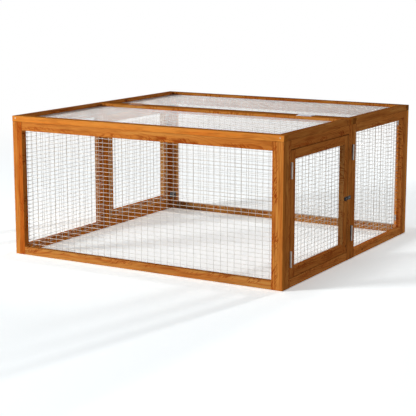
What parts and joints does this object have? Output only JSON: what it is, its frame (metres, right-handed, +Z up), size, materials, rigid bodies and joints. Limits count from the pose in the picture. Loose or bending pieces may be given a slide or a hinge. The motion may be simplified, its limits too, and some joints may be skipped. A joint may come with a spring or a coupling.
{
  "type": "folding rabbit run",
  "caption": "Timber and wire mesh pet run with sides that fold inwards, a hinged door in each side and a hinged two-part lid.",
  "frame": {"origin": "middle of the run's box on the ground, halfway across the width and the depth", "axes": "+X to the right along the front panel, +Y from the front panel to the rear panel, +Z up"},
  "size_m": [1.2164, 1.1783, 0.5623],
  "materials": {
    "panel_timber": "stained orange, satin",
    "side_timber": "stained brown, satin",
    "net": "galvanised wire",
    "hinge_steel": "zinc plated",
    "bolt_black": "black"
  },
  "bodies": {
    "rear_panel": {"rear_panel_stiles": "panel_timber", "rear_panel_top_rail": "panel_timber", "rear_panel_bottom_rail": "panel_timber", "rear_panel_net": "net", "rear_panel_corner_leaves": "hinge_steel", "rear_panel_lid_leaves": "hinge_steel"},
    "right_rear_half": {"right_rear_stiles": "side_timber", "right_rear_top_rail": "side_timber", "right_rear_bottom_rail": "side_timber", "right_rear_net": "net", "right_rear_corner_leaves": "hinge_steel", "right_rear_fold_leaves": "hinge_steel"},
    "right_front_half": {"right_front_stiles": "side_timber", "right_front_top_rail": "side_timber", "right_front_bottom_rail": "side_timber", "right_front_corner_leaves": "hinge_steel", "right_front_fold_leaves": "hinge_steel", "right_frame_door_leaves": "hinge_steel", "right_bolt_keeper": "bolt_black"},
    "right_door": {"right_door_stiles": "side_timber", "right_door_rails": "side_timber", "right_door_net": "net", "right_door_leaves": "hinge_steel", "right_bolt_plate": "bolt_black"},
    "right_bolt": {"right_bolt_rod": "bolt_black"},
    "front_panel": {"front_panel_stiles": "panel_timber", "front_panel_top_rail": "panel_timber", "front_panel_bottom_rail": "panel_timber", "front_panel_net": "net", "front_panel_corner_leaves": "hinge_steel"},
    "left_rear_half": {"left_rear_stiles": "side_timber", "left_rear_top_rail": "side_timber", "left_rear_bottom_rail": "side_timber", "left_rear_corner_leaves": "hinge_steel", "left_rear_fold_leaves": "hinge_steel", "left_frame_door_leaves": "hinge_steel", "left_bolt_keeper": "bolt_black"},
    "left_door": {"left_door_stiles": "side_timber", "left_door_rails": "side_timber", "left_door_net": "net", "left_door_leaves": "hinge_steel", "left_bolt_plate": "bolt_black"},
    "left_bolt": {"left_bolt_rod": "bolt_black"},
    "left_front_half": {"left_front_stiles": "side_timber", "left_front_top_rail": "side_timber", "left_front_bottom_rail": "side_timber", "left_front_net": "net", "left_front_corner_leaves": "hinge_steel", "left_front_fold_leaves": "hinge_steel"},
    "rear_lid": {"rear_lid_long_rails": "panel_timber", "rear_lid_side_rails": "panel_timber", "rear_lid_net": "net", "rear_lid_front_leaves": "hinge_steel", "rear_lid_back_leaves": "hinge_steel"},
    "front_lid": {"front_lid_long_rails": "panel_timber", "front_lid_side_rails": "panel_timber", "front_lid_net": "net", "front_lid_leaves": "hinge_steel"}
  },
  "joints": [
    {"name": "run_fold", "type": "hinge", "parent": "rear_panel", "child": "right_rear_half", "pos_m": [0.5737, 0.55655, 0], "axis": [0, 0, -1], "range_deg": [0, 88]},
    {"name": "right_side_fold", "type": "hinge", "parent": "right_rear_half", "child": "right_front_half", "pos_m": [0.6043, -0.00315, 0], "axis": [0, 0, 1], "range_deg": [0, 176]},
    {"name": "front_panel_turn", "type": "hinge", "parent": "right_front_half", "child": "front_panel", "pos_m": [0.5737, -0.56285, 0], "axis": [0, 0, -1], "range_deg": [0, 88]},
    {"name": "left_rear_turn", "type": "hinge", "parent": "rear_panel", "child": "left_rear_half", "pos_m": [-0.5737, 0.55655, 0], "axis": [0, 0, 1], "range_deg": [0, 88]},
    {"name": "left_side_fold", "type": "hinge", "parent": "left_rear_half", "child": "left_front_half", "pos_m": [-0.6043, -0.00315, 0], "axis": [0, 0, -1], "range_deg": [0, 176]},
    {"name": "right_door_hinge", "type": "hinge", "parent": "right_front_half", "child": "right_door", "pos_m": [0.6038, -0.53155, 0], "axis": [0, 0, 1], "range_deg": [-170, 0]},
    {"name": "left_door_hinge", "type": "hinge", "parent": "left_rear_half", "child": "left_door", "pos_m": [-0.6038, 0.52525, 0], "axis": [0, 0, 1], "range_deg": [-170, 0]},
    {"name": "right_bolt_slide", "type": "slide", "parent": "right_door", "child": "right_bolt", "axis": [0, 1, 0], "range_m": [0, 0.008]},
    {"name": "left_bolt_slide", "type": "slide", "parent": "left_door", "child": "left_bolt", "axis": [0, -1, 0], "range_m": [0, 0.008]},
    {"name": "rear_lid_hinge", "type": "hinge", "parent": "rear_panel", "child": "rear_lid", "pos_m": [0, 0.58615, 0.5338], "axis": [-1, 0, 0], "range_deg": [0, 180]},
    {"name": "front_lid_hinge", "type": "hinge", "parent": "rear_lid", "child": "front_lid", "pos_m": [0, -0.00315, 0.5593], "axis": [-1, 0, 0], "range_deg": [0, 180]}
  ],
  "couplings": [
    {"joint": "right_side_fold", "follows": "run_fold", "ratio": 2},
    {"joint": "front_panel_turn", "follows": "run_fold", "ratio": 1},
    {"joint": "left_rear_turn", "follows": "run_fold", "ratio": 1},
    {"joint": "left_side_fold", "follows": "run_fold", "ratio": 2}
  ]
}
